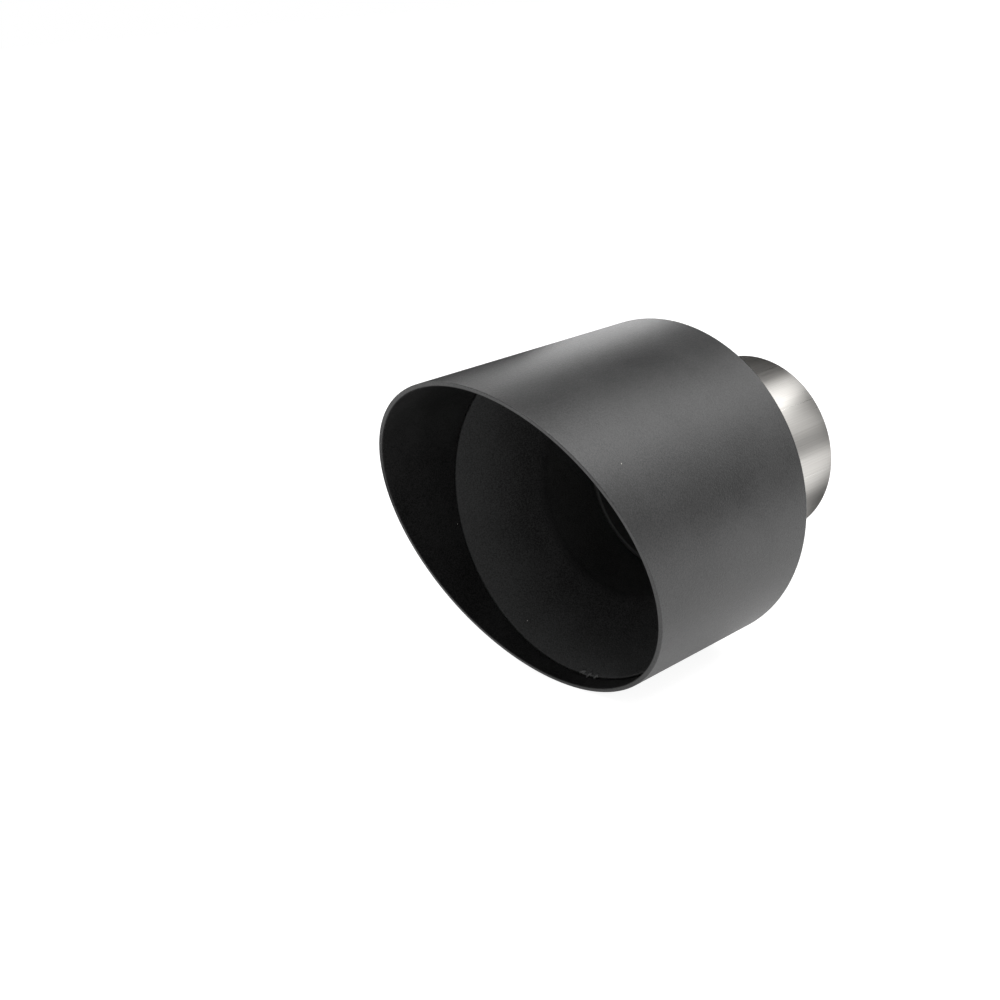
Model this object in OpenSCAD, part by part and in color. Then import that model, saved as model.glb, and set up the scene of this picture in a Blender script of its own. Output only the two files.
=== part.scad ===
// Slash-cut exhaust tip, made of an outer shell, a pressed inner dish, an inlet pipe and the welds that
// join them.
//
// Y is the axis of the whole tip. Gas comes in at the inlet pipe's open end, at the origin, and flows
// towards -Y, out of the slanted mouth. The long side of the shell is up (+Z). Sizes are in millimetres.

/* [Outer shell] */
// Outside diameter of the shell
shell_d = 114.3; // [100:0.1:130]
// Thickness of the shell's rolled sheet
shell_wall = 1.6; // [1:0.1:3]
// Length of the shell along its long side, from the back edge to the tip of the mouth
shell_long = 99; // [85:1:170]
// Slant of the mouth, from square to the axis
slash_angle = 20; // [0:1:25]
// Rounding of the shell's square back edge
back_edge_r = 0.6; // [0.2:0.1:0.8]

/* [Inlet pipe] */
// Outside diameter of the tailpipe that slides into the inlet
tailpipe_d = 63.5; // [48:0.1:70]
// Room for the tailpipe inside the inlet, measured on one side
slip_gap = 0.25; // [0.1:0.05:0.6]
// Thickness of the inlet pipe
pipe_wall = 1.5; // [1:0.1:2.5]
// How far the inlet pipe stands out behind the shell's back edge
pipe_out = 50; // [20:1:90]
// How far the inlet pipe's front end lies in front of the shell's back edge
pipe_in = 3.5; // [0:0.5:8]
// Chamfer that takes the burr off both ends of the inlet pipe
pipe_chamfer = 0.4; // [0.1:0.1:0.6]

/* [Inner dish] */
// Thickness of the dish's pressed sheet
dish_wall = 1.5; // [1:0.1:2]
// How far the dish's front edge lies behind the mouth's short side
dish_recess = 6.4; // [3:0.1:12]
// Depth of the dish, from its front edge to the start of its straight collar
dish_depth = 24; // [16:0.5:30]
// Rounding of the dish's front edge, where the gas side meets the shell
lip_r = 0.6; // [0.3:0.1:0.8]
// Radius of the throat, where the dish runs into its collar
throat_r = 6; // [3:0.5:10]
// Length over which the dish's collar laps the inlet pipe
collar_lap = 10; // [5:0.5:16]

/* [Welds] */
// Room between a weld or a pressed piece and the face it is fused to
seat_gap = 0.08; // [0.05:0.01:0.2]
// Length of a ring weld along the walls of its corner
weld_leg = 3; // [1.5:0.1:5]
// Number of puddles in the tack at the front of the dish
tack_count = 3; // [1:1:6]
// Radius of each puddle of the tack
tack_r = 1.7; // [1:0.1:2.4]
// Distance between the puddles of the tack
tack_pitch = 3.1; // [1.5:0.1:4]
// Place of the tack around the shell, in degrees from +X towards +Z
tack_clock = 275; // [255:1:290]

/* [Hidden] */
$fn = 120;

// Segments of the small arcs in the profiles
arc_steps = 10;
// What a cutter reaches past the solid that it cuts
overcut = 5;

shell_r = shell_d / 2;
shell_ir = shell_r - shell_wall;
pipe_ir = tailpipe_d / 2 + slip_gap;
pipe_r = pipe_ir + pipe_wall;
dish_r = shell_ir - seat_gap;
collar_ir = pipe_r + seat_gap;
collar_r = collar_ir + dish_wall;

// Places along the axis
shell_back = -pipe_out;
shell_tip = shell_back - shell_long;
short_side = shell_tip + shell_d * tan(slash_angle);
dish_front = short_side + dish_recess;
throat_start = dish_front + dish_depth;
pipe_front = shell_back - pipe_in;
collar_end = pipe_front + collar_lap;

// Centres of the lip's and the throat's rounding, as [radius, place along the axis], and the angle at
// which the straight cone between them faces: it touches both roundings from the front
lip_c = [dish_r - lip_r, dish_front + lip_r];
throat_c = [collar_ir + throat_r, throat_start];
bend_step = throat_c - lip_c;
cone_face = atan2(bend_step[1], bend_step[0]) + acos((lip_r - throat_r) / norm(bend_step)) - 360;
// Runs up the cone, from the throat to the shell
cone_rise = [-sin(cone_face), cos(cone_face)];

function arc(centre, r, from, to) =
    [for (i = [0:arc_steps]) let (a = from + (to - from) * i / arc_steps)
        centre + r * [cos(a), sin(a)]];

// Turns a profile of [radius, place along the axis] points into a solid around the Y axis
module turned(profile) {
    rotate([-90, 0, 0]) rotate_extrude() polygon(profile);
}

// Where the cone's rear side, moved out by grow, meets the cylinder of radius r
function cone_rear(r, grow) =
    let (at_throat = throat_c + (throat_r - dish_wall - grow) * [cos(cone_face), sin(cone_face)])
        at_throat + cone_rise * (r - at_throat[0]) / cone_rise[0];

// The side that gas touches comes first, then the side that faces the shell's inside
function dish_profile(grow = 0) = concat(
    arc(lip_c, lip_r + grow, 0, cone_face),
    arc(throat_c, throat_r + grow, cone_face, -180),
    [[collar_ir - grow, collar_end + grow], [collar_r + grow, collar_end + grow]],
    arc(throat_c, throat_r - dish_wall - grow, -180, cone_face),
    [cone_rear(dish_r + grow, grow)]);

// A fillet weld with a full, rounded face in the corner between two walls, given as steps along each
function weld_profile(corner, along_one, along_other) = concat(
    [corner],
    [for (i = [0:arc_steps]) let (a = 90 * i / arc_steps)
        corner + along_one * cos(a) + along_other * sin(a)]);

// Everything in front of the mouth's slanted plane
module slash_cutter() {
    reach = shell_d / cos(slash_angle) + shell_d;
    translate([0, shell_tip, shell_r])
        rotate([slash_angle, 0, 0])
            translate([-reach / 2, -reach, -reach])
                cube([reach, reach, reach + overcut]);
}

module outer_shell() {
    start = shell_tip - overcut;
    color([0.15, 0.15, 0.155])
        difference() {
            turned(concat(
                [[shell_ir, start], [shell_r, start]],
                arc([shell_r - back_edge_r, shell_back - back_edge_r], back_edge_r, 0, 90),
                [[shell_ir, shell_back]]));
            slash_cutter();
        }
}

module inner_dish() {
    color([0.12, 0.12, 0.125]) turned(dish_profile());
}

module inlet_pipe() {
    color([0.62, 0.61, 0.59])
        turned([
            [pipe_ir, pipe_front + pipe_chamfer],
            [pipe_ir + pipe_chamfer, pipe_front],
            [pipe_r - pipe_chamfer, pipe_front],
            [pipe_r, pipe_front + pipe_chamfer],
            [pipe_r, -pipe_chamfer],
            [pipe_r - pipe_chamfer, 0],
            [pipe_ir + pipe_chamfer, 0],
            [pipe_ir, -pipe_chamfer]]);
}

// Puddles in the corner between the dish's front edge and the shell, trimmed clear of both
module front_tack() {
    puddle_r = dish_r - tack_r / 2;
    step = tack_pitch / puddle_r * 180 / PI;
    front = dish_front - 2 * tack_r;
    rear = dish_front + lip_r / 2;
    color([0.16, 0.16, 0.165])
        difference() {
            intersection() {
                for (i = [0:tack_count - 1])
                    rotate([0, (i - (tack_count - 1) / 2) * step - tack_clock, 0])
                        translate([puddle_r, dish_front, 0]) rotate([90, 0, 0]) sphere(tack_r);
                turned([[0, front], [dish_r, front], [dish_r, rear], [0, rear]]);
            }
            turned(dish_profile(seat_gap));
        }
}

// Joins the rear of the dish's edge to the inside of the shell
module seam_weld() {
    corner = cone_rear(dish_r, seat_gap);
    color([0.16, 0.16, 0.165])
        turned(weld_profile(corner, [0, weld_leg], -cone_rise * weld_leg));
}

// Joins the end of the dish's collar to the outside of the inlet pipe
module pipe_weld() {
    color([0.5, 0.49, 0.47])
        turned(weld_profile([collar_ir, collar_end + seat_gap], [0, weld_leg], [dish_wall, 0]));
}

outer_shell();
inner_dish();
inlet_pipe();
front_tack();
seam_weld();
pipe_weld();
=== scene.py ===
# %% [markdown]
# # A slash-cut exhaust tip on a white table
#
# The tip is a short, wide tube of stainless sheet with a slanted mouth. A pressed dish closes most of its
# inside, and a plain pipe at the rear slips over the car's tailpipe. Everything but that pipe wears a
# heat-proof black coat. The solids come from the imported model, so this script gives them their finish,
# their small edges and weld beads, the light, and the camera.

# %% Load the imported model
import math

import bmesh
import bpy
from mathutils import Matrix, Vector, noise


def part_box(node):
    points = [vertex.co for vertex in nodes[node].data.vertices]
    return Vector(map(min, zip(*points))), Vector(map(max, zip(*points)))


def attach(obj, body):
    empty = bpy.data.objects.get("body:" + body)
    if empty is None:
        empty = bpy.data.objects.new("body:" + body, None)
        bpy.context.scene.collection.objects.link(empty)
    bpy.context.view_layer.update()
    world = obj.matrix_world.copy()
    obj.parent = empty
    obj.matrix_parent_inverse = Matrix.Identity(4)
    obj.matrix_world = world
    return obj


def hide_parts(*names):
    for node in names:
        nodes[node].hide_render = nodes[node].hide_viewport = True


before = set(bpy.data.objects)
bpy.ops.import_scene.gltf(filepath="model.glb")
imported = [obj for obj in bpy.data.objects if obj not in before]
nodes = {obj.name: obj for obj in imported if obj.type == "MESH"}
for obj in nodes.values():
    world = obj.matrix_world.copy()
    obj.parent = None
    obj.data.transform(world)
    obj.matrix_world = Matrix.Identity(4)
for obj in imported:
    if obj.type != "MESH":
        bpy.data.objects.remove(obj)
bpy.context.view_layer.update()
print("nodes:", sorted(nodes))

# %% [markdown]
# ## Sizes that the scene needs
#
# The mesh of each solid says where it lies, so the sizes below are read from the solids' boxes. The few
# that a box doesn't show, such as the legs of a weld, are written down in millimetres.

# %% Read the sizes
MM = 0.001
SHELL_LOW, SHELL_HIGH = (Vector(corner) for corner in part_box("outer_shell"))
DISH_LOW, DISH_HIGH = (Vector(corner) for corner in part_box("inner_dish"))
PIPE_LOW, PIPE_HIGH = (Vector(corner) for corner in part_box("inlet_pipe"))
SEAM_LOW, SEAM_HIGH = (Vector(corner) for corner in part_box("seam_weld"))
BEAD_LOW, BEAD_HIGH = (Vector(corner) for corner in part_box("pipe_weld"))
SHELL_R = SHELL_HIGH.x
SHELL_BACK = SHELL_HIGH.y
DISH_R = DISH_HIGH.x
PIPE_R = PIPE_HIGH.x
DISH_WALL = 1.5 * MM
PIPE_WALL = 1.5 * MM
FLOOR_Z = -SHELL_R
TIP_CENTRE = (SHELL_LOW + SHELL_HIGH) / 2
print(f"shell radius {SHELL_R / MM:.2f} mm, back edge at {SHELL_BACK / MM:.2f} mm")

# %% [markdown]
# ## Small helpers
#
# Paint makers and picture editors give colours as sRGB hex values, but a renderer adds light in linear
# values. One function turns the first into the second. Another adds one node to a material, sets its
# sockets and settings, and wires it up, which keeps each material short enough to read. Three more lean on
# it for what the materials here share: a mix of two colours, noise of a real size, and the distance from
# the tip's axis. The last helper puts an object into the scene.

# %% Colour, node and object helpers
def linear(hex_colour):
    parts = [int(hex_colour[i:i + 2], 16) / 255 for i in (1, 3, 5)]
    return tuple(c / 12.92 if c <= 0.04045 else ((c + 0.055) / 1.055) ** 2.4 for c in parts) + (1.0,)


def add_node(tree, kind, sockets=None, **settings):
    """Adds a node. A socket's value is a number, a colour, or the output of another node."""
    node = tree.nodes.new(kind)
    for name, value in settings.items():
        setattr(node, name, value)
    for name, value in (sockets or {}).items():
        if isinstance(value, bpy.types.NodeSocket):
            tree.links.new(value, node.inputs[name])
        else:
            node.inputs[name].default_value = value
    return node


def new_material(name):
    """An empty material and its node tree."""
    material = bpy.data.materials.new(name)
    material.use_nodes = True
    material.node_tree.nodes.clear()
    return material, material.node_tree


def blend(tree, factor, first, second, way="MIX"):
    """A mix of two colours: the first where the factor is 0, and the second where it is 1."""
    mix = add_node(tree, "ShaderNodeMix", {
        "Factor": factor, "A": first, "B": second}, data_type="RGBA", blend_type=way)
    return mix.outputs["Result"]


def noise_pattern(tree, place, size_mm, detail, roughness):
    """Noise between 0 and 1, whose largest blots are about as wide as the given size."""
    pattern = add_node(tree, "ShaderNodeTexNoise", {
        "Vector": place, "Scale": 1 / (size_mm * MM), "Detail": detail, "Roughness": roughness})
    return pattern.outputs["Fac"]


def radius_from_axis(tree, split):
    """How far a point lies from the tip's axis."""
    flat = add_node(tree, "ShaderNodeCombineXYZ", {"X": split.outputs["X"], "Z": split.outputs["Z"]})
    length = add_node(tree, "ShaderNodeVectorMath", {0: flat.outputs[0]}, operation="LENGTH")
    return length.outputs["Value"]


def add_object(name, data):
    """Puts a mesh, a lamp or a camera into the scene."""
    thing = bpy.data.objects.new(name, data)
    bpy.context.scene.collection.objects.link(thing)
    return thing


print("white is", linear("#ffffff"))

# %% [markdown]
# ## The black coat
#
# The shell wears a ceramic-filled black coat, sprayed and baked. Such a coat is a matte black film: a very
# dark base, a broad soft highlight, and a sandy grain. The coarse part of that grain shows from a step
# away: flat dimples a little under a millimetre apart. Noise makes them, once as bump and once as a slight
# change in gloss. A finer noise, like powder, changes how dark the base is, and a much larger one adds the
# faint clouds that spraying leaves. Dust specks are small Voronoi cells, of which only a few are let through.
#
# Inside the mouth the coat turns into a second film that is darker and duller, and more so the deeper it
# lies: painted shade for the hollow inside of the shell and its dish. It is a second shader of its own,
# since it also bends light less than the closed film, and a mask over the radius or the depth mixes the two.
# In the throat a grey is added to that film as painted light, so that it is a little lighter again.

# %% The sprayed coat
CLOUD_MM, POWDER_MM, SPECK_CELL_MM = 22, 0.45, 9
SPECK_RADIUS = 0.03  # as a share of a cell
DUST = linear("#a5a29c")
# The darker, duller film is painted shade for the tip's hollow inside.
SHADED_FILM_DARK, SHADED_FILM_LIGHT = linear("#080808"), linear("#242424")
SHADED_FILM_ROUGHNESS = 0.6
# Painted light: a grey added to the darker film in the throat lifts it where little light reaches.
THROAT_PAINTED_LIGHT = linear("#242424")
THROAT_START, THROAT_END = DISH_LOW.y + 20 * MM, DISH_LOW.y + 25.5 * MM
GLOSS_SPREAD = 0.035
CLOUD_SHARE = 0.5
# A grain or powder noise with half of the clouds added mostly stays between these values.
TONE_LOW, TONE_HIGH = 0.47, 1.03
SHADE_LOW, SHADE_HIGH = 0.57, 0.93


def dust_specks(tree, place, share_of_cells):
    """1 at the middle of the few Voronoi cells that hold a speck, and 0 elsewhere."""
    cells = add_node(tree, "ShaderNodeTexVoronoi", {
        "Vector": place, "Scale": 1 / (SPECK_CELL_MM * MM)}, feature="F1")
    near = add_node(tree, "ShaderNodeMath", {
        0: cells.outputs["Distance"], 1: SPECK_RADIUS}, operation="LESS_THAN")
    pick = add_node(tree, "ShaderNodeSeparateColor", {"Color": cells.outputs["Color"]})
    chosen = add_node(tree, "ShaderNodeMath", {0: pick.outputs[0], 1: share_of_cells}, operation="LESS_THAN")
    speck = add_node(tree, "ShaderNodeMath", {
        0: near.outputs[0], 1: chosen.outputs[0]}, operation="MULTIPLY")
    return speck.outputs[0]


def sprayed_coat(
        name, hex_dark, hex_light, ior, shaded_film_ior, roughness, grain_mm, grain_depth_mm, specks, shade_span):
    """A coat whose last setting is (kind, start, end): between two radii or places on Y it darkens as painted
    shade.
    """
    material, tree = new_material(name)
    place = add_node(tree, "ShaderNodeTexCoord").outputs["Object"]
    split = add_node(tree, "ShaderNodeSeparateXYZ", {"Vector": place})
    kind, shade_start, shade_end = shade_span
    measure = radius_from_axis(tree, split) if kind == "radius" else split.outputs["Y"]
    # Painted shade: past the given radius or depth the coat turns into the darker film.
    shade_mix = add_node(tree, "ShaderNodeMapRange", {
        "Value": measure, "From Min": shade_start, "From Max": shade_end})
    clouds = noise_pattern(tree, place, CLOUD_MM, 3.0, 0.55)
    grain = noise_pattern(tree, place, grain_mm, 3.0, 0.7)
    powder = noise_pattern(tree, place, POWDER_MM, 1.0, 0.5)
    tone = add_node(tree, "ShaderNodeMath", {
        0: clouds, 1: CLOUD_SHARE, 2: grain}, operation="MULTIPLY_ADD")
    shade = add_node(tree, "ShaderNodeMath", {
        0: clouds, 1: CLOUD_SHARE, 2: powder}, operation="MULTIPLY_ADD")
    share = add_node(tree, "ShaderNodeMapRange", {
        "Value": shade.outputs[0], "From Min": SHADE_LOW, "From Max": SHADE_HIGH})
    throat = add_node(tree, "ShaderNodeMapRange", {
        "Value": split.outputs["Y"], "From Min": THROAT_START, "From Max": THROAT_END})
    speck = dust_specks(tree, place, specks)
    black = blend(tree, share.outputs[0], linear(hex_dark), linear(hex_light))
    shade_black = blend(tree, share.outputs[0], SHADED_FILM_DARK, SHADED_FILM_LIGHT)
    # Painted light: the throat's grey is added to the painted shade.
    lit_shade_black = blend(tree, throat.outputs[0], shade_black, THROAT_PAINTED_LIGHT, way="ADD")
    gloss = add_node(tree, "ShaderNodeMapRange", {
        "Value": tone.outputs[0], "From Min": TONE_LOW, "From Max": TONE_HIGH,
        "To Min": roughness - GLOSS_SPREAD, "To Max": roughness + GLOSS_SPREAD})
    bump = add_node(tree, "ShaderNodeBump", {
        "Height": grain, "Strength": 1.0, "Distance": grain_depth_mm * MM})
    closed = add_node(tree, "ShaderNodeBsdfPrincipled", {
        "Base Color": blend(tree, speck, black, DUST), "Roughness": gloss.outputs[0],
        "Normal": bump.outputs[0], "IOR": ior})
    shaded_film = add_node(tree, "ShaderNodeBsdfPrincipled", {
        "Base Color": blend(tree, speck, lit_shade_black, DUST), "Roughness": SHADED_FILM_ROUGHNESS,
        "Normal": bump.outputs[0], "IOR": shaded_film_ior})
    shader = add_node(tree, "ShaderNodeMixShader", {
        "Fac": shade_mix.outputs[0], 1: closed.outputs[0], 2: shaded_film.outputs[0]})
    add_node(tree, "ShaderNodeOutputMaterial", {"Surface": shader.outputs[0]})
    print(f"{name}: grain every {grain_mm} mm, roughness {roughness}")
    return material


# Each coat's last setting says where its painted shade begins: inside the shell, deeper in the dish, on beads
# deep inside.
SHELL_COAT = sprayed_coat(
    "ceramic_black_coat", "#0a0a0a", "#282828", ior=1.56, shaded_film_ior=1.25, roughness=0.41, grain_mm=0.7,
    grain_depth_mm=0.085, specks=0.05, shade_span=("radius", SHELL_R - 1.2 * MM, SHELL_R - 1.5 * MM))
INNER_COAT = sprayed_coat(
    "ceramic_black_coat_inside", "#080909", "#232424", ior=1.315, shaded_film_ior=1.18, roughness=0.45,
    grain_mm=0.75, grain_depth_mm=0.15, specks=0.04, shade_span=("y", DISH_LOW.y, DISH_LOW.y + 17 * MM))
BEAD_COAT = sprayed_coat(
    "coat_on_weld", "#1a1b1b", "#262727", ior=1.5, shaded_film_ior=1.3, roughness=0.36, grain_mm=0.9,
    grain_depth_mm=0.08, specks=0.0, shade_span=("y", DISH_LOW.y + 20 * MM, DISH_LOW.y + 40 * MM))

# %% [markdown]
# ## Bare stainless tube and its weld
#
# The inlet pipe was welded in last, so it and its bead are bare. It is stainless tube with a mill finish: a
# metal with fine lines along it, where it was drawn through its rollers. A noise that is stretched along
# the axis makes them. The heat of the weld has tinted it: dark oxide at the bead, then blue, bronze and
# straw. A colour ramp over the distance from the bead gives those bands, and noise frays them. The pipe's
# inside and front edge are painted dull black as shade, which fades out towards the open rear.
# One shader holds it all, because a mask can turn the metal's colour, gloss and metallic share into those
# of a dull black.

# %% Bare tube
CLEAN_STEEL = "#d2d0cc"
HEAT_TINTS = [(0.0, "#77706a"), (0.25, "#73737e"), (0.45, "#8d7163"), (0.65, "#ab8f64"), (0.85, "#c4b590")]
LAST_TINT = HEAT_TINTS[-1][0]
STAIN_MM, EDGE_NOISE_MM = 7, 1.2
FRAY = 0.3  # how far the noise moves the edge of a tint, as a share of the heat's reach
LINE_WIDTH, LINE_LENGTH = 0.35 * MM, 60 * MM
LINE_LOW, LINE_HIGH = 0.3, 0.7
# Painted shade: the pipe's front edge and inside turn dull black, fading out towards the open rear.
SHADED_FRONT_EDGE, PAINTED_SHADE_FADE, PAINTED_SHADE_RAGGED = 3 * MM, 22 * MM, 10 * MM
PAINTED_SHADE_BLACK = linear("#202020")
PAINTED_SHADE_DULLNESS = 0.32


def heat_colour(tree, place, along, plain, hot_y, reach):
    """The plain metal's colour with the tints of the weld's heat laid over it."""
    stains = noise_pattern(tree, place, STAIN_MM, 3.0, 0.6)
    past = add_node(tree, "ShaderNodeMath", {0: along, 1: hot_y}, operation="SUBTRACT")
    away = add_node(tree, "ShaderNodeMath", {0: past.outputs[0]}, operation="ABSOLUTE")
    frayed = add_node(tree, "ShaderNodeMath", {
        0: stains, 1: FRAY * reach, 2: away.outputs[0]}, operation="MULTIPLY_ADD")
    place_on_ramp = add_node(tree, "ShaderNodeMapRange", {
        "Value": frayed.outputs[0], "From Min": FRAY / 2 * reach, "From Max": (1 + FRAY / 2) * reach})
    ramp = add_node(tree, "ShaderNodeValToRGB", {"Fac": place_on_ramp.outputs[0]})
    stops = ramp.color_ramp.elements
    stops[0].color = linear(HEAT_TINTS[0][1])
    stops[1].color = linear(CLEAN_STEEL)
    for position, tint in HEAT_TINTS[1:]:
        stops.new(position).color = linear(tint)
    faded = add_node(tree, "ShaderNodeMapRange", {
        "Value": place_on_ramp.outputs[0], "From Min": LAST_TINT, "From Max": 1.0,
        "To Min": 1.0, "To Max": 0.0})
    return blend(tree, faded.outputs[0], plain, ramp.outputs["Color"])


def painted_shade_mask(tree, place, split, painted_shade_y):
    """1 where painted shade blackens the pipe: on its front edge, and inside it as far back as about the
    given place on Y.
    """
    inner = add_node(tree, "ShaderNodeMath", {
        0: radius_from_axis(tree, split), 1: PIPE_R - 0.7 * PIPE_WALL}, operation="LESS_THAN")
    front = add_node(tree, "ShaderNodeMath", {
        0: split.outputs["Y"], 1: PIPE_LOW.y + SHADED_FRONT_EDGE}, operation="LESS_THAN")
    inside = add_node(tree, "ShaderNodeMath", {
        0: inner.outputs[0], 1: front.outputs[0]}, operation="MAXIMUM")
    edge_noise = noise_pattern(tree, place, EDGE_NOISE_MM, 4.0, 0.7)
    ragged = add_node(tree, "ShaderNodeMath", {
        0: edge_noise, 1: PAINTED_SHADE_RAGGED, 2: split.outputs["Y"]}, operation="MULTIPLY_ADD")
    depth = add_node(tree, "ShaderNodeMapRange", {
        "Value": ragged.outputs[0], "From Min": painted_shade_y, "From Max": painted_shade_y + PAINTED_SHADE_FADE,
        "To Min": 1.0, "To Max": 0.0}, interpolation_type="SMOOTHSTEP")
    mask = add_node(tree, "ShaderNodeMath", {
        0: inside.outputs[0], 1: depth.outputs[0]}, operation="MULTIPLY")
    return mask.outputs[0]


def bare_tube(name, hex_metal, hex_worn, hot_y, reach, painted_shade_y=None):
    """Drawn steel, tinted within reach of the heat at hot_y; given a place on Y, its inside is painted black
    as shade that far back.
    """
    material, tree = new_material(name)
    place = add_node(tree, "ShaderNodeTexCoord").outputs["Object"]
    split = add_node(tree, "ShaderNodeSeparateXYZ", {"Vector": place})
    drawn = add_node(tree, "ShaderNodeMapping", {
        "Vector": place, "Scale": (1 / LINE_WIDTH, 1 / LINE_LENGTH, 1 / LINE_WIDTH)})
    lines = add_node(tree, "ShaderNodeTexNoise", {
        "Vector": drawn.outputs[0], "Scale": 1.0, "Detail": 3.0, "Roughness": 0.6})
    share = add_node(tree, "ShaderNodeMapRange", {
        "Value": lines.outputs["Fac"], "From Min": LINE_LOW, "From Max": LINE_HIGH})
    plain = blend(tree, share.outputs[0], linear(hex_metal), linear(hex_worn))
    colour = heat_colour(tree, place, split.outputs["Y"], plain, hot_y, reach)
    gloss = add_node(tree, "ShaderNodeMapRange", {
        "Value": lines.outputs["Fac"], "From Min": LINE_LOW, "From Max": LINE_HIGH,
        "To Min": 0.27, "To Max": 0.4})
    bump = add_node(tree, "ShaderNodeBump", {
        "Height": lines.outputs["Fac"], "Strength": 0.15, "Distance": 0.012 * MM})
    look = {
        "Base Color": colour, "Metallic": 1.0, "Roughness": gloss.outputs[0], "Normal": bump.outputs[0]}
    if painted_shade_y is not None:
        # Painted shade inside the pipe, in place of its metal.
        shade_paint = painted_shade_mask(tree, place, split, painted_shade_y)
        metal = add_node(tree, "ShaderNodeMath", {0: 1.0, 1: shade_paint}, operation="SUBTRACT")
        dull = add_node(tree, "ShaderNodeMath", {
            0: shade_paint, 1: PAINTED_SHADE_DULLNESS, 2: gloss.outputs[0]}, operation="MULTIPLY_ADD")
        look["Base Color"] = blend(tree, shade_paint, colour, PAINTED_SHADE_BLACK)
        look["Metallic"] = metal.outputs[0]
        look["Roughness"] = dull.outputs[0]
    shader = add_node(tree, "ShaderNodeBsdfPrincipled", look)
    add_node(tree, "ShaderNodeOutputMaterial", {"Surface": shader.outputs[0]})
    print(f"{name}: heat tint within {reach / MM:.0f} mm of the weld")
    return material


BARE_STEEL = bare_tube(
    "mill_finish_stainless", CLEAN_STEEL, "#c5c2be", hot_y=BEAD_LOW.y + 1 * MM, reach=13 * MM,
    painted_shade_y=-20 * MM)
# The bead's own tint is faint, so the centre of its heat is put well in front of it.
BARE_BEAD = bare_tube(
    "stainless_weld_bead", "#b3aea6", "#9a958d", hot_y=BEAD_LOW.y - 17 * MM, reach=20 * MM)

# %% [markdown]
# ## Give each solid its finish
#
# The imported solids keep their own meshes. Each has one material slot, which is replaced here.

# %% Assign the materials
FINISHES = {
    "outer_shell": SHELL_COAT,
    "inner_dish": INNER_COAT,
    "front_tack": BEAD_COAT,
    "seam_weld": BEAD_COAT,
    "inlet_pipe": BARE_STEEL,
    "pipe_weld": BARE_BEAD,
}
for name, material in FINISHES.items():
    solid = nodes[name]
    solid.data.materials.clear()
    solid.data.materials.append(material)
    print(name, "wears", material.name, "on", len(solid.data.polygons), "faces")

# %% [markdown]
# ## Broken edges
#
# A saw or laser leaves the slanted rim with sharp edges, and a deburring wheel breaks them before the shell
# is coated. Sharp edges in a render look cut from paper, while a broken edge catches a thin line of light.
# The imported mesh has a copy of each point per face, so a Weld modifier first joins them, and a Bevel
# modifier then rounds every edge that is sharper than 35 degrees. A Weighted Normal modifier lets the wide
# faces set the shading, so that the tube still looks perfectly round beside its new edges.

# %% Round the cut edges
JOIN_DISTANCE = 0.002 * MM
SHARP_ANGLE = math.radians(35)


def break_edges(name, width_mm):
    """Rounds the sharp edges of a solid and keeps its wide faces looking even."""
    solid = nodes[name]
    join = solid.modifiers.new("join_points", "WELD")
    join.merge_threshold = JOIN_DISTANCE
    bevel = solid.modifiers.new("broken_edges", "BEVEL")
    bevel.width = width_mm * MM
    bevel.segments = 3
    bevel.limit_method = "ANGLE"
    bevel.angle_limit = SHARP_ANGLE
    bevel.use_clamp_overlap = True
    even = solid.modifiers.new("even_shading", "WEIGHTED_NORMAL")
    even.mode = "FACE_AREA_WITH_ANGLE"
    even.weight = 50
    print(f"{name}: edges broken by {width_mm} mm")


break_edges("outer_shell", 0.3)
break_edges("inner_dish", 0.2)

# %% [markdown]
# ## Ring welds
#
# A welder moves the torch on in small steps, and each step freezes as a low scale that overlaps the one
# before. That gives a bead its row of ripples. A torus would be too smooth, so each bead is a strip of rings
# bent round the axis: every ring follows the bead's rounded section in its corner, and shrinks a little at
# each ripple. The ripples are bent forward in the middle, where the puddle froze last, and noise makes
# their size and step uneven. The bead never leaves the solid that it stands for.

# %% Ring bead
AROUND, ACROSS = 1500, 12
SWAY_PACE, FAT_PACE = 6, 2  # how quickly the ripples' step and the bead's size change on the way round
SWAY, FAT = 0.8, 0.05
LEAD = 0.55  # how far a ripple's middle runs ahead of its ends, in ripples
FILL = 0.93  # the bead's size as a share of the solid's, so that it never leaves the solid


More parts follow.
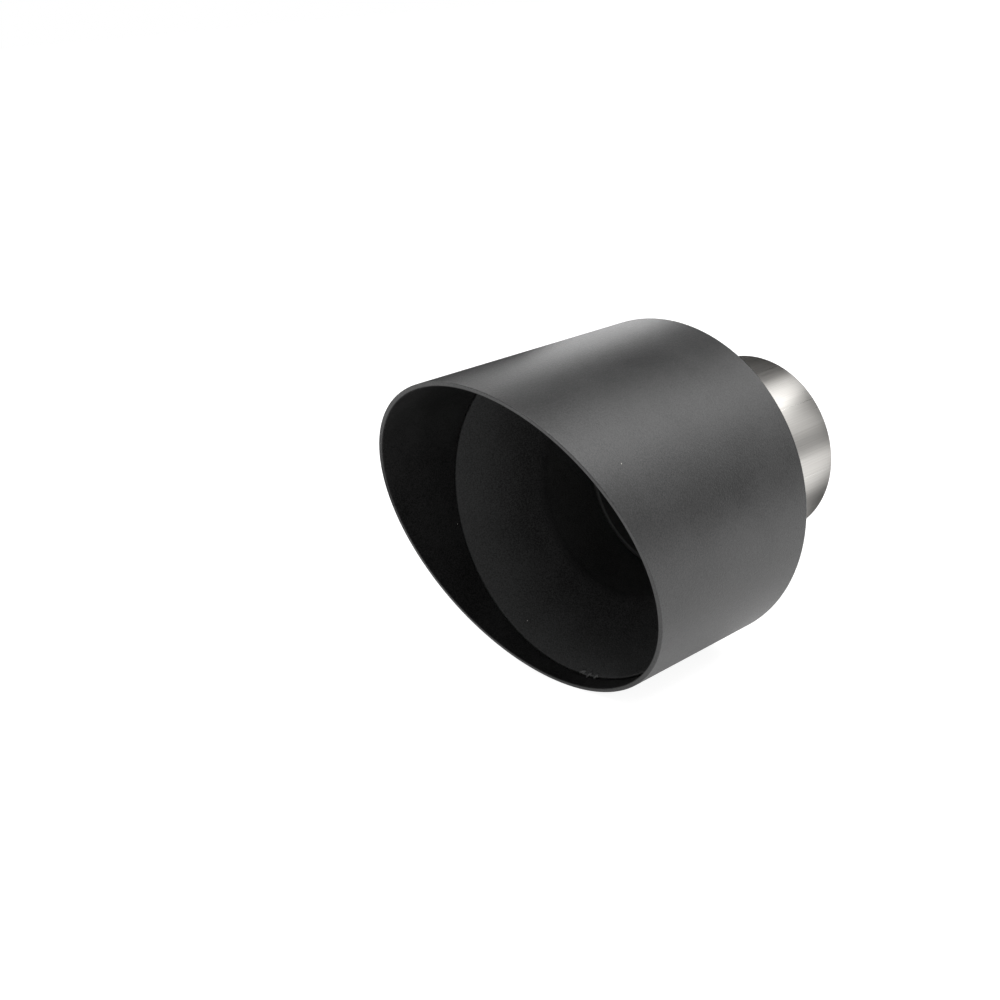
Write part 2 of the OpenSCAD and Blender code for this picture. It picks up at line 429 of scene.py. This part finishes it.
def ring_bead(name, corner, leg_one, leg_two, ripple_mm, depth, seed, material):
    """A bead in the corner of two walls; corner and legs are (radius, y) pairs in metres."""
    step = ripple_mm * MM / corner[0]
    bead = bmesh.new()
    rings = []
    for i in range(AROUND):
        angle = 2 * math.pi * i / AROUND
        sway = noise.noise(Vector((math.cos(angle) * SWAY_PACE, math.sin(angle) * SWAY_PACE, seed)))
        fat = noise.noise(Vector((math.cos(angle) * FAT_PACE, math.sin(angle) * FAT_PACE, seed + 9)))
        ring = [(corner[0], corner[1])]
        for j in range(ACROSS + 1):
            a = math.pi / 2 * j / ACROSS
            lead = LEAD * math.sin(2 * a)
            phase = (angle / step + SWAY * sway + lead) % 1.0
            scale = FILL + FAT * fat - depth * (1 - phase) ** 2 * math.sin(2 * a)
            ring.append((
                corner[0] + scale * (leg_one[0] * math.cos(a) + leg_two[0] * math.sin(a)),
                corner[1] + scale * (leg_one[1] * math.cos(a) + leg_two[1] * math.sin(a))))
        rings.append([
            bead.verts.new((r * math.cos(angle), y, r * math.sin(angle))) for r, y in ring])
    for i in range(AROUND):
        here, there = rings[i], rings[(i + 1) % AROUND]
        for j in range(len(here)):
            k = (j + 1) % len(here)
            bead.faces.new((here[j], there[j], there[k], here[k]))
    bmesh.ops.recalc_face_normals(bead, faces=bead.faces)
    mesh = bpy.data.meshes.new(name)
    bead.to_mesh(mesh)
    bead.free()
    mesh.polygons.foreach_set("use_smooth", [True] * len(mesh.polygons))
    mesh.materials.append(material)
    piece = add_object(name, mesh)
    print(f"{name}: {len(mesh.polygons)} faces, a ripple every {ripple_mm} mm")
    return piece


WELD_LEG = 3 * MM
CONE_SLOPE = math.radians(45.7)
seam = ring_bead(
    "seam_bead", (SEAM_HIGH.x, SEAM_LOW.y), (0, WELD_LEG),
    (-WELD_LEG * math.cos(CONE_SLOPE), WELD_LEG * math.sin(CONE_SLOPE)),
    ripple_mm=1.5, depth=0.10, seed=3.0, material=BEAD_COAT)
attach(seam, "root")
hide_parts("seam_weld")

collar_bead = ring_bead(
    "collar_bead", (BEAD_HIGH.x - DISH_WALL, BEAD_LOW.y), (0, WELD_LEG), (DISH_WALL, 0),
    ripple_mm=1.3, depth=0.12, seed=5.0, material=BARE_BEAD)
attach(collar_bead, "root")
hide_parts("pipe_weld")

# %% [markdown]
# ## The three tacks in front
#
# Three short strokes of weld hold the dish's front edge at the bottom of the shell. Each is a drop that was
# drawn from the dish over its edge to the shell and froze aslant, joined to the next by a low toe. Separate
# balls would look like beads on a string, so strokes and toe are laid out as squashed spheres, fused by a
# Remesh modifier and eased by a Smooth modifier. Both modifiers are kept, so the strokes can be moved.

# %% Front tacks
TACK_CLOCK = math.radians(275)
TACK_PITCH = 3.1 * MM
STROKE_INSET, STROKE_BACK = 1.25 * MM, 0.75 * MM
TOE_INSET, TOE_BACK = 0.55 * MM, 0.2 * MM
TOE_BALLS, TOE_STEP, TOE_BALL_R = 13, 0.2, 0.45 * MM
STROKES = [
    # place along the edge in pitches; place towards the shell, half length, half width and height in mm;
    # slant in degrees
    (-1.10, 0.30, 1.70, 0.80, 0.65, 62),
    (0.00, 0.70, 1.65, 0.70, 0.75, 34),
    (0.98, 0.75, 1.50, 0.65, 0.70, 34),
]


def front_tacks(name, material):
    """Slanted strokes of weld on a low toe, in the corner between the dish's edge and the shell."""
    shape = bmesh.new()
    middle_r = DISH_R - STROKE_INSET
    for along, towards, half_length, half_width, height, slant in STROKES:
        clock = TACK_CLOCK + along * TACK_PITCH / middle_r
        outward = Vector((math.cos(clock), 0, math.sin(clock)))
        edge = Vector((-math.sin(clock), 0, math.cos(clock)))
        down = (outward - Vector((0, 1, 0))).normalized()
        lift = edge.cross(down)
        axes = Matrix((edge, down, lift)).transposed().to_4x4()
        place = outward * middle_r + Vector((0, DISH_LOW.y + STROKE_BACK, 0)) + down * towards * MM
        squash = Matrix.Diagonal((half_width * MM, half_length * MM, height * MM, 1))
        bmesh.ops.create_uvsphere(
            shape, u_segments=32, v_segments=16, radius=1,
            matrix=Matrix.Translation(place) @ axes @ Matrix.Rotation(math.radians(slant), 4, "Z") @ squash)
    toe_r = DISH_R - TOE_INSET
    for i in range(TOE_BALLS):
        clock = TACK_CLOCK + (i - TOE_BALLS // 2) * TOE_STEP * TACK_PITCH / DISH_R
        bmesh.ops.create_uvsphere(
            shape, u_segments=16, v_segments=10, radius=TOE_BALL_R,
            matrix=Matrix.Translation(
                (toe_r * math.cos(clock), DISH_LOW.y + TOE_BACK, toe_r * math.sin(clock))))
    mesh = bpy.data.meshes.new(name)
    shape.to_mesh(mesh)
    shape.free()
    mesh.materials.append(material)
    piece = add_object(name, mesh)
    fuse = piece.modifiers.new("fuse_strokes", "REMESH")
    fuse.mode = "VOXEL"
    fuse.voxel_size = 0.1 * MM
    fuse.use_smooth_shade = True
    ease = piece.modifiers.new("ease_strokes", "SMOOTH")
    ease.factor = 0.5
    ease.iterations = 4
    print(f"{name}: {len(STROKES)} strokes, {TACK_PITCH / MM} mm apart")
    return piece


tacks = front_tacks("front_strokes", BEAD_COAT)
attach(tacks, "root")
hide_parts("front_tack")

# %% [markdown]
# ## Table and background
#
# The picture is a product shot on pure white. The floor is a white table, and both it and the world are
# white where the camera, or a reflection, looks straight at them. Elsewhere the world sends a little less
# than that, which sets the plain level of light. The table's look is part glow and part paper, so that the
# tip's shadow still shows where it touches down. A reflection shows more of the paper than the camera does,
# because the shade under a real tip darkens the lower edge of its own shell.

# %% Floor and world
def looked_at(tree):
    """1 where the camera, a reflection or a refraction looks straight at the surface, and 0 elsewhere."""
    path = add_node(tree, "ShaderNodeLightPath")
    first = add_node(tree, "ShaderNodeMath", {
        0: path.outputs["Is Camera Ray"], 1: path.outputs["Is Glossy Ray"]}, operation="MAXIMUM")
    second = add_node(tree, "ShaderNodeMath", {
        0: first.outputs[0], 1: path.outputs["Is Transmission Ray"]}, operation="MAXIMUM")
    return second.outputs[0]


def white_table(name, glow, share, mirrored_glow, mirrored_share):
    """Seen straight on, the table is mostly glow; a reflection shows more of its shaded paper."""
    material, tree = new_material(name)
    mirrored = add_node(tree, "ShaderNodeLightPath").outputs["Is Glossy Ray"]
    strength = add_node(tree, "ShaderNodeMapRange", {
        "Value": mirrored, "To Min": glow, "To Max": mirrored_glow})
    shade = blend(tree, mirrored, linear(share), linear(mirrored_share))
    paper = add_node(tree, "ShaderNodeBsdfDiffuse", {"Color": linear("#f2f2f2")})
    light = add_node(tree, "ShaderNodeEmission", {
        "Color": linear("#ffffff"), "Strength": strength.outputs[0]})
    shaded = add_node(tree, "ShaderNodeBsdfDiffuse", {"Color": shade})
    seen = add_node(tree, "ShaderNodeAddShader", {0: light.outputs[0], 1: shaded.outputs[0]})
    mixed = add_node(tree, "ShaderNodeMixShader", {
        "Fac": looked_at(tree), 1: paper.outputs[0], 2: seen.outputs[0]})
    add_node(tree, "ShaderNodeOutputMaterial", {"Surface": mixed.outputs[0]})
    return material


FLOOR_SIZE = 12.0
half = FLOOR_SIZE / 2
floor_mesh = bpy.data.meshes.new("table")
floor_mesh.from_pydata(
    [(-half, -half, FLOOR_Z), (half, -half, FLOOR_Z), (half, half, FLOOR_Z), (-half, half, FLOOR_Z)],
    [], [(0, 1, 2, 3)])
floor_mesh.materials.append(white_table(
    "white_table", glow=0.90, share="#9a9a9a", mirrored_glow=0.35, mirrored_share="#d0d0d0"))
floor = add_object("table", floor_mesh)

WORLD_LEVEL = 0.84
world = bpy.data.worlds.new("studio")
bpy.context.scene.world = world
world.use_nodes = True
world.node_tree.nodes.clear()
level = add_node(world.node_tree, "ShaderNodeMapRange", {
    "Value": looked_at(world.node_tree), "To Min": WORLD_LEVEL, "To Max": 1.0})
sky = add_node(world.node_tree, "ShaderNodeBackground", {
    "Color": linear("#ffffff"), "Strength": level.outputs[0]})
add_node(world.node_tree, "ShaderNodeOutputWorld", {"Surface": sky.outputs[0]})
print("world level", WORLD_LEVEL)

# %% [markdown]
# ## Softboxes and black cards
#
# A tube shows every lamp as a stripe along its length, and the lamp's angle round the tube's axis says which
# stripe. So each lamp is placed by that clock angle, counted from the right towards the top, and by how far
# it lies forward of the tip. Its brightness is a radiance, where 1 is as bright as white paper.
#
# Black cards do the opposite of a lamp. Two far ones make the dark stripes between the lamps. A plane card
# and a bent one stand on the left, where the photograph has a second tip, and make the top fade towards the
# mouth. Two small ones behind the tip keep stray light out of the throat and give the bare pipe its dark
# side. Only these two also cast shadows; the others show in reflections and nowhere else.

# %% Lamps and cards
def facing_tip(clock, forward, distance):
    """Where a lamp or card stands, turned so that its front looks at the tip."""
    around = math.radians(clock)
    side = math.sqrt(1 - forward ** 2)
    away = Vector((side * math.cos(around), forward, side * math.sin(around)))
    turned = away.to_track_quat("Z", "Y").to_matrix().to_4x4()
    return Matrix.Translation(TIP_CENTRE + away * distance) @ turned


def softbox(name, clock, forward, distance, width, height, radiance):
    """A soft rectangular lamp, hidden from the camera."""
    lamp = bpy.data.lights.new(name, "AREA")
    lamp.shape = "RECTANGLE"
    lamp.size = width
    lamp.size_y = height
    lamp.energy = radiance * math.pi * width * height
    holder = add_object(name, lamp)
    holder.matrix_world = facing_tip(clock, forward, distance)
    holder.visible_camera = False
    print(f"{name}: radiance {radiance}")


CARD_BLACK, card_tree = new_material("black_card")
felt = add_node(card_tree, "ShaderNodeBsdfDiffuse", {"Color": linear("#050505")})
add_node(card_tree, "ShaderNodeOutputMaterial", {"Surface": felt.outputs[0]})


def black_card(name, corners_mm, where=Matrix(), faces=None, shades=False):
    """A card of black felt, with its corners in order round its edge unless faces are given."""
    mesh = bpy.data.meshes.new(name)
    mesh.from_pydata(
        [where @ (Vector(corner) * MM) for corner in corners_mm], [], faces or [range(len(corners_mm))])
    mesh.materials.append(CARD_BLACK)
    card = add_object(name, mesh)
    card.visible_camera = False
    card.visible_diffuse = shades
    card.visible_shadow = shades
    print(f"{name}: a black card of {len(mesh.polygons)} faces")


LAMPS = {
    # clock angle, how far forward, distance, width, height, radiance
    "side_softbox": (61, 0.12, 0.75, 0.32, 0.47, 9.4),
    "right_softbox": (63, 0.661, 1.2, 0.45, 0.60, 2.05),
    "left_softbox": (154, 0.75, 1.2, 0.45, 0.45, 1.6),
    "front_softbox": (136, -0.32, 1.4, 0.55, 0.55, 2.5),
}
for name, setting in LAMPS.items():
    softbox(name, *setting)

black_card("mouth_card", [(-140, -110, -20), (-140, 26, -20), (-140, 26, 125), (-140, -110, 125)])
SECOND_X, SECOND_Z, SECOND_R = -134, 3, 57
BENDS = 18
turns = [math.radians(-90 + 180 / BENDS * i) for i in range(BENDS + 1)]
black_card(
    "bent_card",
    [(SECOND_X + SECOND_R * math.cos(a), y, SECOND_Z + SECOND_R * math.sin(a))
     for a in turns for y in (-147, -24)],
    faces=[(2 * i, 2 * i + 1, 2 * i + 3, 2 * i + 2) for i in range(BENDS)])
black_card(
    "top_card", [(-160, -190, 0), (135, -190, 0), (135, 190, 0), (-160, 190, 0)],
    facing_tip(clock=117, forward=0.735, distance=0.7))
black_card(
    "low_card", [(-205, -150, 0), (205, -150, 0), (205, 150, 0), (-205, 150, 0)],
    facing_tip(clock=1, forward=0.64, distance=0.7))
black_card(
    "rear_card", [(-50, 27, -50), (50, 27, -50), (50, 27, 50), (-50, 27, 50)], shades=True)
black_card(
    "pipe_card",
    [(-72, 18, 10), (-40, 18, 10), (-40, 18, 40), (16, 18, 44), (16, 18, 74), (-48, 18, 74), (-72, 18, 48)],
    shades=True)

# %% [markdown]
# ## Camera
#
# The photograph's camera was worked out from the outlines of the mouth, the back edge and the dish. It looks
# at the tip from the mouth's side, about 46 degrees round and 19 degrees up, and is rolled a little.

# %% Camera
CAMERA_FROM_BACK_MM = (337.10, -411.89, 175.37)
CAMERA_AZIMUTH, CAMERA_ELEVATION, CAMERA_ROLL = 45.72, 18.69, -3.63
SENSOR_MM, LENS_MM = 36.0, 57.455

camera_data = bpy.data.cameras.new("photo_camera")
camera_data.sensor_width = SENSOR_MM
camera_data.lens = LENS_MM
camera_data.clip_start = 0.01
camera = add_object("photo_camera", camera_data)
turn = math.radians(CAMERA_AZIMUTH)
lift = math.radians(CAMERA_ELEVATION)
back = Vector((math.sin(turn) * math.cos(lift), -math.cos(turn) * math.cos(lift), math.sin(lift)))
right = Vector((math.cos(turn), math.sin(turn), 0))
up = back.cross(right)
level_axes = Matrix((right, up, back)).transposed().to_4x4()
camera.matrix_world = (
    Matrix.Translation(Vector((0, SHELL_BACK, 0)) + Vector(CAMERA_FROM_BACK_MM) * MM)
    @ level_axes @ Matrix.Rotation(math.radians(CAMERA_ROLL), 4, "Z"))
bpy.context.scene.camera = camera
bpy.context.scene.view_settings.view_transform = "Standard"
print("camera at", [round(c, 4) for c in camera.matrix_world.translation])
